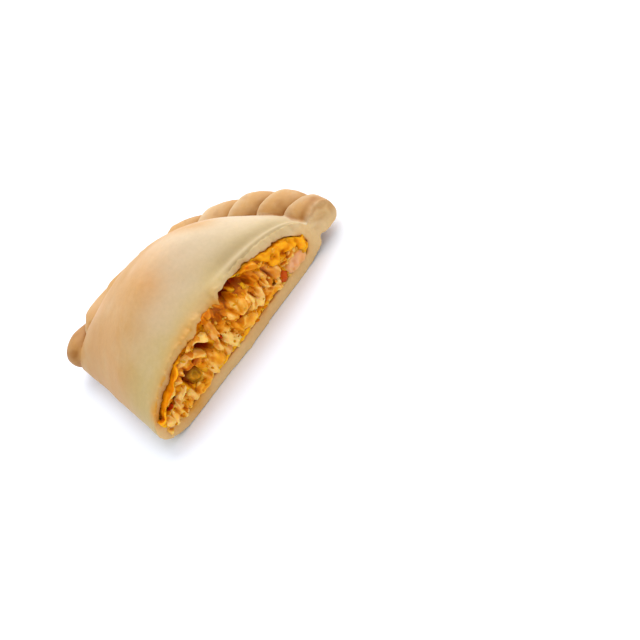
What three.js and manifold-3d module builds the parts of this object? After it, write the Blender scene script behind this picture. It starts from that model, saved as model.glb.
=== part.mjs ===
// Half of a baked cheeseburger empanada, cut across the middle and laid flat on its underside.
// x runs from the fold of the dough to its crimped seam, y from the cut face to the tip, z up.
// A share is a part of the way from 0 to 1, and a run is a length along the seam from the cut.
import * as THREE from "three";
import { mergeVertices } from "three/addons/utils/BufferGeometryUtils.js";
import Module from "manifold-3d";

const wasm = await Module();
wasm.setup();

// Dough, in millimetres.
const TIP_REACH = 50.7; // cut face to the end of the dome, without the rope rim
const SEAM_REACH = 62.6; // fold to the edge of the dome, at the cut
const TIP_WIDTH = 4; // width of the dome where it ends at the tip
const PLAN_POWER = 2.4; // the seam's curve in plan is a superellipse of this power
const FOLD_BULGE = 5.3; // how far the folded side stands out at the cut
const LIP_HEIGHT = 19.8; // height at the cut, pressed down by the knife
const CROWN_HEIGHT = 29; // greatest height, behind the cut
const CROWN_SHARE = 0.38; // share of the way to the tip at which the crown is reached
const FALL_POWER = 1.18; // how soon the crown falls away towards the tip
const SEAM_HEIGHT = 8.2; // height at which the dome meets the rope rim
const LIP_HOLLOW = 1.05; // power of the arch at the cut: 1 is an ellipse, more is flatter at its sides
const FOLD_HOLLOW = 1.25; // the same behind the cut, on the folded side
const SEAM_HOLLOW = 2.05; // the same behind the cut, on the seam side, which slopes gently
const LEAN = 0.1; // lean of the crown towards the seam, as a share of the half width
const CORNER_WIDTH = 10.4; // rounded lower corner at the fold
const CORNER_HEIGHT = 5.5;
const SEAM_LIFT = 2.5; // how far the seam side is off the table
const LIFT_WIDTH = 9; // width over which it lifts

// Walls of the dough.
const LIP_WALL = 1.2;
const CROWN_WALL = 3;
const FLOOR_WALL = 3.5;
const FOLD_WALL = 3.2;
const SEAM_WALL = 3.3;
const TOP_SEAM_WALL = 2;
const CAVITY_SHARE = 0.93; // share of the way to the tip at which the hollow would close
const HOLLOW_END_WIDTH = 0.45; // share of its width and height that it would close to
const HOLLOW_END_HEIGHT = 0.3;
const HOLLOW_CORNER = [1.4, 5]; // lower corner of the hollow at the fold, in from its side

// Curled lip: a shallow groove that runs behind the cut edge on the seam side.
const GROOVE_DEPTH = 0.8;
const GROOVE_FROM_CUT = 4.2;
const GROOVE_WIDTH = 1.7;

// Rope rim: slanted tongues that overlap along the seam, each on the next one towards the tip.
const ROPE_WIDTH = 8.8;
const ROPE_HEIGHT = 9;
const ROPE_RISE = 1.5; // how much higher the rope stands in the middle of its length
const RISE_RUNS = [36, 52]; // where it rises, along the seam from the cut
const DROP_RUNS = [74, 90]; // where it comes down again
const FIRST_CREASE = 8.5; // along the seam from the cut
const CREASE_PITCH = 11.5; // at the cut, growing less towards the tip
const LEAST_PITCH = 9.8;
const ROPE_ACROSS = 10.4; // width of the rope's section, part of it under the edge of the dome
const TONGUE_SLANT = 0.62; // how far a crease runs back towards the cut for each step outwards
const CREASE_DEPTH = 1.7;
const FAINT_CREASES = { at: 72, width: 16, loss: 0.7 }; // where the creases are shallower, and by what share
const EDGE_SHARE = 0.8; // share of a tongue at which its leading edge begins to roll under
const PLUMPNESS = 0.85; // power that fills the section out towards a box, 1 for an ellipse
const ROPE_SIDES = 20;
const TONGUE_STEPS = [0.02, 0.2, 0.42, 0.64, 0.82, 0.93, 0.985];
const KNOB_STEPS = [0.02, 0.15, 0.3, 0.45, 0.6, 0.74, 0.86, 0.94, 0.985];
const KNOB_PAST_TIP = 4.8; // how far the knob reaches past the end of the seam
const KNOB_ROUNDING = 0.4; // share of the knob at which it begins to round off

// Cut faces and filling.
const WAVE = 0.5; // waviness of the cut through the dough
const LIP_WAVE = 0.8; // raggedness of the cut upper lip
const NOTCH_DEPTH = 1.1; // broken place in the lip
const NOTCH_AT = 28;
const NOTCH_WIDTH = 2.6;
const GAP = 0.4; // between the filling and the dough
const FILLING_BACK = 0.9; // how far the filling's face lies behind the cut
const CRUMBLE_PITCH = 4.1;
const CRUMBLE_SIZE = [2, 3.1]; // radii of the common crumbles
const CRUMBLE_SCATTER = 2.6;
const CUT_GRAIN = 2.6; // size of the facets of a cut face
const CUTTER_MARGIN = 10; // how far the cutting block reaches past the dough

// The largest crumbles of meat that stand out of the cut: place along x and z, and radius.
const LARGE_CRUMBLES = [
  { x: 31.5, z: 10.5, radius: 4.3 },
  { x: 24, z: 11.5, radius: 3.6 },
  { x: 38.5, z: 13.5, radius: 3.6 },
  { x: 17.5, z: 8, radius: 3.7 },
  { x: 46, z: 10.5, radius: 3.4 },
  { x: 9.5, z: 8.5, radius: 3.4 },
  { x: 53, z: 8, radius: 3 },
];

// Seeded random numbers from 0 to 1.
function randomFrom(seed) {
  let state = seed;
  return () => {
    state = (state + 0x6d2b79f5) | 0;
    let t = Math.imul(state ^ (state >>> 15), 1 | state);
    t = (t + Math.imul(t ^ (t >>> 7), 61 | t)) ^ t;
    return ((t ^ (t >>> 14)) >>> 0) / 4294967296;
  };
}

const smooth = (v) => THREE.MathUtils.smoothstep(v, 0, 1);
const mix = THREE.MathUtils.lerp;
const bell = (v, middle, width) => Math.exp(-(((v - middle) / width) ** 2));

// Width of the plan at a share of the way from the cut to the tip: 1 at the cut and 0 at the tip.
function planShare(share) {
  const power = Math.abs(share) ** PLAN_POWER;
  return Math.max(0, 1 - power) ** (1 / PLAN_POWER);
}

// Sizes of the dough's section at a share of the way from the cut to the tip.
function sectionAt(share) {
  const rise = smooth(Math.max(0, share) / CROWN_SHARE);
  const past = THREE.MathUtils.clamp((share - CROWN_SHARE) / (1 - CROWN_SHARE), 0, 1);
  const fall = Math.sqrt(1 - past ** FALL_POWER);
  return {
    y: share * TIP_REACH,
    seam: TIP_WIDTH + (SEAM_REACH - TIP_WIDTH) * planShare(share),
    fold: -FOLD_BULGE * (1 - Math.max(0, share)),
    top: mix(SEAM_HEIGHT, mix(LIP_HEIGHT, CROWN_HEIGHT, rise), fall),
    rise,
  };
}

// The arched upper line of a section, from its seam side to its fold side.
function arch(section, seamHeight, foldHeight, steps) {
  const half = (section.seam - section.fold) / 2;
  const middle = (section.seam + section.fold) / 2;
  const points = [];
  for (let i = 0; i <= steps; i++) {
    const angle = (Math.PI * i) / steps;
    const across = Math.cos(angle);
    const up = Math.abs(Math.sin(angle));
    const foldShare = 0.5 - 0.5 * across;
    const base = mix(seamHeight, foldHeight, foldShare);
    const power = mix(LIP_HOLLOW, mix(SEAM_HOLLOW, FOLD_HOLLOW, foldShare), section.rise);
    points.push([middle + half * (across + LEAN * up * up), base + (section.top - base) * up ** power]);
  }
  return points;
}

// One ring of the dough's outer surface.
function outerRing(share) {
  const section = sectionAt(share);
  const half = (section.seam - section.fold) / 2;
  const points = arch(section, SEAM_HEIGHT, CORNER_HEIGHT, 40);
  const corner = Math.min(CORNER_WIDTH, 1.2 * half);
  for (let i = 1; i <= 5; i++) {
    const angle = (Math.PI / 2) * (i / 5);
    points.push([section.fold + corner * (1 - Math.cos(angle)), CORNER_HEIGHT * (1 - Math.sin(angle))]);
  }
  const lift = Math.min(LIFT_WIDTH, 0.6 * half);
  for (let i = 0; i <= 3; i++) {
    points.push([section.seam - lift * (1 - i / 3), SEAM_LIFT * (i / 3) ** 2]);
  }
  const grooved = points.map(([x, z]) => {
    const seamSide = smooth((x / SEAM_REACH - 0.45) / 0.3) * smooth((z - SEAM_HEIGHT) / 3);
    return [x, z - GROOVE_DEPTH * seamSide * bell(section.y, GROOVE_FROM_CUT, GROOVE_WIDTH)];
  });
  return grooved.map(([x, z]) => new THREE.Vector3(x, section.y, z));
}

// Sizes of the hollow in the dough, which closes before the tip.
function hollowAt(share) {
  const outer = sectionAt(share);
  const close = Math.sqrt(Math.max(0, 1 - (Math.max(0, share) / CAVITY_SHARE) ** 8));
  const seam = outer.seam - SEAM_WALL;
  const fold = outer.fold + FOLD_WALL;
  const middle = (seam + fold) / 2;
  const half = ((seam - fold) / 2) * mix(HOLLOW_END_WIDTH, 1, close);
  const top = outer.top - mix(LIP_WALL, CROWN_WALL, outer.rise);
  return {
    y: outer.y,
    seam: middle + half,
    fold: middle - half,
    top: mix(FLOOR_WALL, top, mix(HOLLOW_END_HEIGHT, 1, close)),
    rise: outer.rise,
  };
}

// One ring of the hollow, made smaller all round by a gap that is measured square to its wall.
function innerRing(share, gap) {
  const section = hollowAt(share);
  const after = hollowAt(share + 0.01);
  const step = after.y - section.y;
  const across = gap * Math.hypot(1, (section.seam - after.seam) / step);
  const down = gap * Math.hypot(1, (section.top - after.top) / step);
  const floor = FLOOR_WALL + gap;
  section.seam -= across;
  section.fold += across;
  section.top -= down;
  const seamHeight = Math.min(SEAM_HEIGHT - TOP_SEAM_WALL, section.top - 1) - gap;
  const foldHeight = Math.min(CORNER_HEIGHT + 2.5, section.top - 1) - gap;
  const points = arch(section, seamHeight, foldHeight, 26);
  points.push([section.fold + HOLLOW_CORNER[0], mix(foldHeight, floor, 0.6)]);
  points.push([section.fold + HOLLOW_CORNER[1], floor]);
  points.push([section.seam - 2, floor]);
  const back = share > CROWN_SHARE ? gap : 0;
  return points.map(([x, z]) => new THREE.Vector3(x, section.y - back, z));
}

// A closed surface through rings of points, with a fan over each end ring.
function loft(rings) {
  const count = rings[0].length;
  const middleOf = (ring) => ring.reduce((sum, p) => sum.add(p), new THREE.Vector3()).divideScalar(count);
  const points = rings.flat();
  const last = (rings.length - 1) * count;
  points.push(middleOf(rings[0]), middleOf(rings[rings.length - 1]));
  const index = [];
  for (let r = 0; r + 1 < rings.length; r++) {
    for (let i = 0; i < count; i++) {
      const a = r * count + i;
      const b = r * count + ((i + 1) % count);
      index.push(a, a + count, b, b, a + count, b + count);
    }
  }
  for (let i = 0; i < count; i++) {
    const next = (i + 1) % count;
    index.push(i, next, last + count);
    index.push(last + next, last + i, last + count + 1);
  }
  const geometry = new THREE.BufferGeometry().setFromPoints(points);
  geometry.setIndex(index);
  return geometry;
}

// The block that a cut takes away: its front is a wavy face, which gives y for x and z.
function wavyBlock(face) {
  const back = -TIP_REACH / 2;
  const low = -CUTTER_MARGIN;
  const high = CROWN_HEIGHT + CUTTER_MARGIN;
  const rings = [];
  for (let x = low - FOLD_BULGE; x < SEAM_REACH + ROPE_WIDTH + CUTTER_MARGIN; x += CUT_GRAIN) {
    const ring = [new THREE.Vector3(x, back, low), new THREE.Vector3(x, back, high)];
    for (let z = high; z > low; z -= CUT_GRAIN) {
      ring.push(new THREE.Vector3(x, face(x, z), z));
    }
    rings.push(ring);
  }
  return loft(rings);
}

// The seam's curve as points, closer together towards the tip, each with its run.
const seamCurve = [];
for (let i = 0; i <= 400; i++) {
  const share = 1 - (1 - i / 400) ** 3;
  const x = sectionAt(share).seam;
  const before = seamCurve[i - 1];
  const y = share * TIP_REACH;
  const run = before ? before.run + Math.hypot(x - before.x, y - before.y) : 0;
  seamCurve.push({ x, y, run });
}
const SEAM_LENGTH = seamCurve[seamCurve.length - 1].run;

// A point beside the seam: run along it from the cut, out from it, and up.
function besideSeam(run, out, up) {
  if (run <= 0) return new THREE.Vector3(SEAM_REACH + out, run, up);
  if (run >= SEAM_LENGTH) return new THREE.Vector3(TIP_WIDTH - (run - SEAM_LENGTH), TIP_REACH + out, up);
  const i = seamCurve.findIndex((p) => p.run >= run);
  const from = seamCurve[Math.max(0, i - 8)];
  const to = seamCurve[Math.min(seamCurve.length - 1, i + 8)];
  const along = new THREE.Vector2(to.x - from.x, to.y - from.y).normalize();
  const { x, y } = seamCurve[i];
  return new THREE.Vector3(x + along.y * out, y - along.x * out, up);
}

// The creases of the rope: their runs along the seam, from one before the cut to the last before the tip.
const creases = [FIRST_CREASE - CREASE_PITCH];
while (creases[creases.length - 1] < SEAM_LENGTH - LEAST_PITCH) {
  const last = creases[creases.length - 1];
  creases.push(last + mix(CREASE_PITCH, LEAST_PITCH, Math.max(0, last) / SEAM_LENGTH));
}

// 1 up to a share, then down to 0 as a quarter circle does.
function rollUnder(share, from) {
  const past = Math.max(0, share - from) / (1 - from);
  return Math.sqrt(1 - past * past);
}

// Height of the rope's underside at a run.
function ropeLift(run) {
  const up = smooth((run - RISE_RUNS[0]) / (RISE_RUNS[1] - RISE_RUNS[0]));
  const down = smooth((run - DROP_RUNS[0]) / (DROP_RUNS[1] - DROP_RUNS[0]));
  return SEAM_LIFT + ROPE_RISE * (up - down);
}

// One ring of the rope: run along the seam, fullness of the tongue there, size and slant of the section.
function ropeRing(run, swell, size, slant) {
  const middle = ROPE_WIDTH - ROPE_ACROSS / 2;
  const plump = (v) => Math.sign(v) * Math.abs(v) ** PLUMPNESS;
  const depth = CREASE_DEPTH * (1 - FAINT_CREASES.loss * bell(run, FAINT_CREASES.at, FAINT_CREASES.width));
  const ring = [];
  for (let i = 0; i < ROPE_SIDES; i++) {
    const angle = (2 * Math.PI * i) / ROPE_SIDES;
    const relief = depth * (1 - swell) * mix(0.2, 1, 0.5 + 0.5 * Math.sin(angle));
    const side = (ROPE_ACROSS / 2 - relief) * plump(Math.cos(angle)) * size;
    const rise = (ROPE_HEIGHT / 2 - relief) * plump(Math.sin(angle)) * size;
    const place = run - slant * side;
    ring.push(besideSeam(place, middle + side, ropeLift(place) + ROPE_HEIGHT / 2 + rise));
  }
  return ring;
}

// The rope rim: a row of tongues, each full at its leading edge, that ends in a rounded knob at the tip.
function rope() {
  const rings = [];
  creases.slice(1).forEach((crease, i) => {
    const tail = creases[i];
    TONGUE_STEPS.forEach((share) => {
      const growth = Math.sin((Math.PI / 2) * Math.min(1, share / EDGE_SHARE));
      const swell = growth * rollUnder(share, EDGE_SHARE);
      rings.push(ropeRing(mix(tail, crease, share), swell, 1, TONGUE_SLANT));
    });
  });
  const tail = creases[creases.length - 1];
  KNOB_STEPS.forEach((share) => {
    const run = mix(tail, SEAM_LENGTH + KNOB_PAST_TIP, share);
    const slant = TONGUE_SLANT * (1 - share);
    const size = rollUnder(share, KNOB_ROUNDING);
    rings.push(ropeRing(run, Math.min(1, share / KNOB_ROUNDING), size, slant));
  });
  return loft(rings);
}

// A rough crumble of meat or cheese at a place on the cut face.
function crumble(x, y, z, radius, detail, random) {
  const geometry = mergeVertices(bare(new THREE.IcosahedronGeometry(radius, detail)));
  const position = geometry.attributes.position;
  const stretch = new THREE.Vector3(mix(0.85, 1.25, random()), 0.8, mix(0.7, 1.05, random()));
  const turn = new THREE.Euler(random() * 3, random() * 3, random() * 3);
  for (let i = 0; i < position.count; i++) {
    const p = new THREE.Vector3().fromBufferAttribute(position, i);
    p.multiplyScalar(mix(0.82, 1.15, random())).multiply(stretch).applyEuler(turn);
    position.setXYZ(i, p.x + x, p.y + y, p.z + z);
  }
  return geometry;
}

// A copy of a geometry with its positions alone.
function bare(geometry) {
  const copy = geometry.clone();
  copy.deleteAttribute("normal");
  copy.deleteAttribute("uv");
  return copy;
}

// A geometry as a solid for joining and cutting.
function solid(geometry) {
  const merged = mergeVertices(bare(geometry), 1e-3);
  const mesh = new wasm.Mesh({
    numProp: 3,
    vertProperties: merged.attributes.position.array,
    triVerts: new Uint32Array(merged.index.array),
  });
  return new wasm.Manifold(mesh);
}

// A solid as a geometry.
function geometryOf(shape) {
  const mesh = shape.getMesh();
  const geometry = new THREE.BufferGeometry();
  geometry.setAttribute("position", new THREE.BufferAttribute(new Float32Array(mesh.vertProperties), 3));
  geometry.setIndex(new THREE.BufferAttribute(new Uint32Array(mesh.triVerts), 1));
  return geometry;
}

// Shares of the way to the tip at which the rings stand, closer together at the lip and the tip.
const OUTER_SHARES = [-0.2, -0.1, 0, 0.03, 0.06, 0.085, 0.11, 0.14, 0.18, 0.23, 0.29, 0.36];
OUTER_SHARES.push(0.44, 0.52, 0.6, 0.67, 0.74, 0.8, 0.855, 0.9, 0.935, 0.96, 0.98, 0.993, 1);
const INNER_SHARES = [-0.25, 0, 0.06, 0.12, 0.18, 0.25, 0.33, 0.42, 0.52, 0.62, 0.72, 0.8, 0.86, 0.9];

// The wavy cut through the dough, ragged at the upper lip and broken back in one place.
function doughCut(x, z) {
  const lip = smooth((z - 9) / 5) * (1 - smooth((x - 52) / 6));
  const wave = WAVE * (Math.sin(x / 6.3) + 0.6 * Math.sin(x / 2.9 + 1.3 + z / 5)) * 0.6;
  const ragged = LIP_WAVE * (0.5 * Math.sin(x / 2.1 + 0.7) + 0.5 * Math.sin(x / 4.7));
  return wave + lip * (ragged + NOTCH_DEPTH * bell(x, NOTCH_AT, NOTCH_WIDTH));
}

// The rough face of the filling between its crumbles, a little behind the cut.
function fillingCut(x, z) {
  return FILLING_BACK + 0.7 * Math.sin(x / 2.3 + z / 3.1) + 0.5 * Math.sin(z / 1.9 - x / 3.7);
}

// The dough: a hollow dome with its rope rim.
function buildCrust() {
  let crust = solid(loft(OUTER_SHARES.map(outerRing)));
  crust = crust.add(solid(rope()));
  const cavity = solid(loft(INNER_SHARES.map((share) => innerRing(share, 0))));
  return crust.subtract(cavity).subtract(solid(wavyBlock(doughCut)));
}

// The filling: one body that fills the hollow, with crumbles that stand out of the cut.
function buildFilling() {
  const random = randomFrom(7);
  const room = solid(loft(INNER_SHARES.map((share) => innerRing(share, GAP))));
  let filling = room.subtract(solid(wavyBlock(fillingCut)));
  for (const { x, z, radius } of LARGE_CRUMBLES) {
    filling = filling.add(solid(crumble(x, 0.6, z, radius, 1, random)));
  }
  for (let x = 0.5; x < SEAM_REACH - SEAM_WALL; x += CRUMBLE_PITCH) {
    for (let z = FLOOR_WALL + 1; z < LIP_HEIGHT; z += CRUMBLE_PITCH * 0.85) {
      const radius = mix(...CRUMBLE_SIZE, random());
      const aside = CRUMBLE_SCATTER * (random() - 0.5);
      const above = CRUMBLE_SCATTER * (random() - 0.5);
      const behind = 1.4 * random();
      filling = filling.add(solid(crumble(x + aside, behind, z + above, radius, 0, random)));
    }
  }
  return filling.intersect(room);
}

// A named mesh of a solid's largest body, so that a speck or a bubble in the dough is left out.
function part(name, shape, color, roughness) {
  const [largest] = shape.decompose().sort((a, b) => b.volume() - a.volume());
  const material = new THREE.MeshStandardMaterial({ color, roughness, metalness: 0 });
  const mesh = new THREE.Mesh(geometryOf(largest), material);
  mesh.name = name;
  return mesh;
}

const empanada = new THREE.Group();
empanada.add(part("crust", buildCrust(), 0xe0c08f, 0.6));
empanada.add(part("filling", buildFilling(), 0xd9973a, 0.45));

// The origin is the middle of the underside's box.
const box = new THREE.Box3().setFromObject(empanada);
const middle = box.getCenter(new THREE.Vector3());
empanada.children.forEach((mesh) => mesh.geometry.translate(-middle.x, -middle.y, -box.min.z));

export default empanada;
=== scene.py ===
"""The looks of a cut half of a baked cheeseburger empanada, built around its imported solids.

x runs from the fold of the dough to its crimped seam, y from the cut face to the tip, z up.
Working sizes are in millimetres from the fold's line and from the cut, and are stored in metres.
"""

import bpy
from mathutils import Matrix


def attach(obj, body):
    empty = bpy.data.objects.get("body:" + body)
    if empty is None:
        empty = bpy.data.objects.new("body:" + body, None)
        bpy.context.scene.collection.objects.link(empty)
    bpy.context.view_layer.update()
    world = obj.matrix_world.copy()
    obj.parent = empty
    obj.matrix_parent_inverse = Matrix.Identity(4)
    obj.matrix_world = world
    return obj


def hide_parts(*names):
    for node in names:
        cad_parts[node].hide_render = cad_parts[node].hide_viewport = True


bl_info = {
    "name": "Cheeseburger empanada half",
    "version": (1, 0, 0),
    "blender": (4, 5, 0),
    "location": "3D View > Sidebar > Empanada",
    "description": "Models the baked dough, the meat and cheese filling and the studio of a cut empanada",
    "category": "Object",
}

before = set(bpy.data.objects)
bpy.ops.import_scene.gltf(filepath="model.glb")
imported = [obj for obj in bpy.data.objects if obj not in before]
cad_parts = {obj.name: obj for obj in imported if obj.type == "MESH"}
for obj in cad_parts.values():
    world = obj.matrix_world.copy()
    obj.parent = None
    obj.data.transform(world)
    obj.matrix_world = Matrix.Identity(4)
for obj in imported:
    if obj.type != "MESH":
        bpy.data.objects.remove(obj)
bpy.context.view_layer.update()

import math
import random

import bpy
import numpy as np
from bpy.props import FloatProperty, FloatVectorProperty, IntProperty, PointerProperty
from mathutils import Euler, Matrix, Vector, noise
from mathutils.bvhtree import BVHTree

MM = 0.001
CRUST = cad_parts["crust"]
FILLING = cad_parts["filling"]

# Where the fold's line and the cut stand in the part's frame, in millimetres.
ORIGIN = np.array([-33.03, -27.91, 0.0])

# The seam's curve in plan, in millimetres: a superellipse from the cut to the tip.
TIP_REACH = 50.7
SEAM_REACH = 62.6
TIP_WIDTH = 4.0
PLAN_POWER = 2.4

# The rope rim's tongues, in millimetres along the seam.
FIRST_CREASE = 8.5
CREASE_PITCH = 11.5
LEAST_PITCH = 9.8
TONGUE_SLANT = 0.62
ROPE_MIDDLE = 3.6
ROPE_TOP = 12.0

# Places of the filling's floor and ends, in millimetres.
FLOOR_WALL = 3.5
FILLING_ENDS = (-2.7, 59.7)

# Where the lip hangs lower: its middle along x, half width and drop, in millimetres.
LIP_DROPS = [(6.0, 7.0, 1.5), (15.0, 3.0, 0.9), (20.5, 3.0, 1.3), (41.0, 3.2, 1.1), (50.0, 5.0, 1.3)]

# The torn flap of the lip: each strip's middle along x, half width and drop, and how far back it reaches.
FLAP = [(28.8, 3.2, 2.4), (30.9, 1.5, 1.5)]
FLAP_REACH = 3.6

# Where fat and cheese have run over the cut floor: the middle along x, half width and drop.
SPILLS = [
    (9.5, 5.0, 0.6),
    (20.0, 4.0, 0.2),
    (27.0, 3.0, 0.2),
    (35.5, 6.0, 0.3),
    (44.0, 4.0, 0.2),
    (53.0, 4.5, 1.2),
]

# Where the cut floor is stained: the middle along x, half width and strength.
STAINS = [(6.5, 7.0, 0.9), (36.0, 8.0, 0.4), (53.0, 6.0, 0.2), (-2.0, 3.0, 0.4)]

# Spots of the dough at the cut: place along x and z, half width and half height, and lean in degrees.
ROPE_END = (66.2, 7.0, 5.2, 4.6, 0)
ROPE_DENT = (66.0, 7.0, 2.6, 2.4, 0)
ROPE_EDGE = (62.4, 9.0, 1.4, 3.6, 0)
ROPE_CRUMB = (64.0, 6.5, 3.0, 3.4, 0)
CHEESE_DROP = (-1.8, 12.0, 2.6, 2.6, 0)

# Where the creases are faint: the middle along the seam and the half width, in millimetres.
FAINT_CREASES = (71, 13)

# How far past the tip the last crease is put, so that the knob has no leading edge, in millimetres.
PAST_TIP = 40

# Where the roof over the filling is measured from: how far behind the cut and how high, in millimetres.
ROOF_FROM = (1.6, 6.5)


def linear(code):
    """The linear colour of an sRGB hex code."""
    parts = [int(code[i : i + 2], 16) / 255 for i in (1, 3, 5)]
    return [v / 12.92 if v <= 0.04045 else ((v + 0.055) / 1.055) ** 2.4 for v in parts] + [1.0]


def smooth(values, low=0.0, high=1.0):
    """0 below low, 1 above high, and a smooth step between them."""
    share = np.clip((values - low) / (high - low), 0, 1)
    return share * share * (3 - 2 * share)


def bell(values, middle, width):
    """1 at the middle, falling away to both sides over the width."""
    return np.exp(-(((values - middle) / width) ** 2))


def bells(x, places):
    """The sum of bells, each given by its middle, half width and height."""
    return sum(height * bell(x, middle, wide) for middle, wide, height in places)


def swells(points, size, seed):
    """Soft noise from about -1 to 1 at each point, with swells of about the size given in millimetres."""
    shift = Vector((seed * 17.3, seed * 5.1, seed * 9.7))
    return np.array([noise.noise(Vector(p) / size + shift) for p in points])


def swells_along(x, size, seed):
    """The same noise along x alone."""
    return swells(np.stack([x, np.zeros_like(x), np.zeros_like(x)], axis=1), size, seed)


def ragged(x):
    """How far the torn lip rises and falls along x, in millimetres."""
    return 0.4 * swells_along(x, 2.4, 8) + 0.25 * swells_along(x, 1.2, 9)


# Patches at the cut: place along x and z, half width and half height in millimetres, and lean in degrees.


def from_middle(x, z, patch):
    """How far a place lies from a patch's middle, across and up along its leaning sides."""
    middle, height = patch[:2]
    turn = math.radians(patch[4])
    across = (x - middle) * math.cos(turn) + (z - height) * math.sin(turn)
    up = (z - height) * math.cos(turn) - (x - middle) * math.sin(turn)
    return across, up


def in_patch(x, z, patch):
    """How far a place is from a patch's middle, as a share of the way to its edge."""
    across, up = from_middle(x, z, patch)
    return np.hypot(across / patch[2], up / patch[3])


def within(x, z, patch, power=4):
    """1 in a patch's middle and 0 well outside it, with a steeper step at its edge for a higher power."""
    return np.exp(-(in_patch(x, z, patch) ** power))


def patched(x, z, patches):
    """The sum of soft patches, each of the height given last."""
    return sum(patch[5] * within(x, z, patch) for patch in patches)


def in_frame(x, y, z):
    """A place in the part's frame, from millimetres off the fold's line and the cut."""
    return (Vector((x, y, z)) + Vector(ORIGIN)) * MM


def tilt(lean):
    """A turn in the plane of the cut, by a lean in degrees."""
    return Euler((0, -math.radians(lean), 0))


# Meshes.


def only(piece):
    """Selects this object alone."""
    bpy.ops.object.select_all(action="DESELECT")
    piece.hide_set(False)
    piece.select_set(True)
    bpy.context.view_layer.objects.active = piece


def apply(piece, kind, **settings):
    """Adds a modifier to a piece and applies it."""
    only(piece)
    modifier = piece.modifiers.new(kind.lower(), kind)
    for name, value in settings.items():
        setattr(modifier, name, value)
    bpy.ops.object.modifier_apply(modifier=modifier.name)


def copy_of(node, name):
    """A copy of a solid as a piece of its own, with its loose triangles merged."""
    piece = bpy.data.objects.new(name, node.data.copy())
    piece.data.name = name
    piece.data.materials.clear()
    bpy.context.scene.collection.objects.link(piece)
    only(piece)
    bpy.ops.object.mode_set(mode="EDIT")
    bpy.ops.mesh.select_all(action="SELECT")
    bpy.ops.mesh.remove_doubles(threshold=1e-6)
    bpy.ops.object.mode_set(mode="OBJECT")
    return piece


def points_of(piece):
    """A piece's vertices in millimetres from the fold's line and the cut."""
    flat = np.empty(len(piece.data.vertices) * 3)
    piece.data.vertices.foreach_get("co", flat)
    return flat.reshape(-1, 3) / MM - ORIGIN


def normals_of(piece):
    """The normals at a piece's vertices."""
    flat = np.empty(len(piece.data.vertices) * 3)
    piece.data.vertex_normals.foreach_get("vector", flat)
    return flat.reshape(-1, 3)


def move_to(piece, points):
    """Puts a piece's vertices at these places, in millimetres from the fold's line and the cut."""
    piece.data.vertices.foreach_set("co", ((points + ORIGIN) * MM).ravel())
    piece.data.update()


def store(piece, name, values):
    """Keeps a number for each vertex, for the material to read."""
    attribute = piece.data.attributes.get(name) or piece.data.attributes.new(name, "FLOAT", "POINT")
    attribute.data.foreach_set("value", np.asarray(values, float))


def group(piece, name, weights, count=20):
    """Makes a vertex group with these weights, rounded to a number of steps."""
    made = piece.vertex_groups.new(name=name)
    steps = np.round(np.clip(weights, 0, 1) * count).astype(int)
    for step in range(1, count + 1):
        members = np.nonzero(steps == step)[0].tolist()
        if members:
            made.add(members, step / count, "REPLACE")


def smoothed(piece, rounds, part="", weights=None):
    """Smooths a piece, or only a named part of it by the weight of each vertex."""
    if part:
        group(piece, part, weights)
    apply(piece, "SMOOTH", factor=0.5, iterations=rounds, vertex_group=part)


def surface_of(node):
    """A solid's surface, for measuring to."""
    corners = [vertex.co for vertex in node.data.vertices]
    return BVHTree.FromPolygons(corners, [face.vertices for face in node.data.polygons])


def distance_to(surface, points):
    """How far each point is from a surface, in millimetres."""
    return np.array([surface.find_nearest(Vector((p + ORIGIN) * MM))[3] / MM for p in points])


FILLING_SURFACE = surface_of(FILLING)
CRUST_SURFACE = surface_of(CRUST)


def relief_of(piece, rounds):
    """How far each vertex stands out of the surface averaged round it, in millimetres."""
    edges = np.empty(len(piece.data.edges) * 2, int)
    piece.data.edges.foreach_get("vertices", edges)
    a, b = edges.reshape(-1, 2).T
    ends = np.concatenate([a, b])
    count = len(piece.data.vertices)
    links = np.maximum(np.bincount(ends, minlength=count), 1)
    points = points_of(piece)
    level = points
    for _ in range(rounds):
        others = np.concatenate([level[b], level[a]])
        level = np.stack([np.bincount(ends, others[:, i], count) / links for i in range(3)], axis=1)
    return ((points - level) * normals_of(piece)).sum(axis=1)


def joined(pieces, name, shapes=()):
    """Several pieces joined as one. The shapes that they are copies of are removed."""
    bpy.ops.object.select_all(action="DESELECT")
    for piece in pieces:
        piece.select_set(True)
    bpy.context.view_layer.objects.active = pieces[0]
    bpy.ops.object.join()
    pieces[0].name = name
    pieces[0].data.name = name
    for shape in shapes:
        bpy.data.objects.remove(shape)
    return pieces[0]


def settle(piece, material):
    """Finishes a piece: its place goes into its mesh, and it gets its shading, material and slot."""
    only(piece)
    bpy.ops.object.transform_apply(location=True, rotation=True, scale=True)
    bpy.ops.object.shade_smooth()
    piece.data.materials.clear()
    piece.data.materials.append(material)
    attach(piece, "root")


# Materials.


def add(tree, kind, sockets=None, **settings):
    """Adds a node with its settings. A socket's value is a constant, or another node's output to link."""
    node = tree.nodes.new(kind)
    for name, value in settings.items():
        setattr(node, name, value)
    for name, value in (sockets or {}).items():
        if isinstance(value, bpy.types.NodeSocket):
            tree.links.new(value, node.inputs[name])
        else:
            node.inputs[name].default_value = value
    return node


def new_material(name):
    """An empty material and its node tree."""
    material = bpy.data.materials.new(name)
    material.use_nodes = True
    material.node_tree.nodes.clear()
    return material, material.node_tree


# Settings that a user can change.


def length_choice(name, description, size):
    """A length, with its default in millimetres."""
    return FloatProperty(
        name=name, description=description, default=size * MM, unit="LENGTH", precision=5
    )


def colour_choice(name, description, code):
    """A colour, with its default as an sRGB hex code."""
    return FloatVectorProperty(
        name=name, description=description, subtype="COLOR", size=4, default=linear(code)
    )


# The seam and its rope rim.


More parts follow.
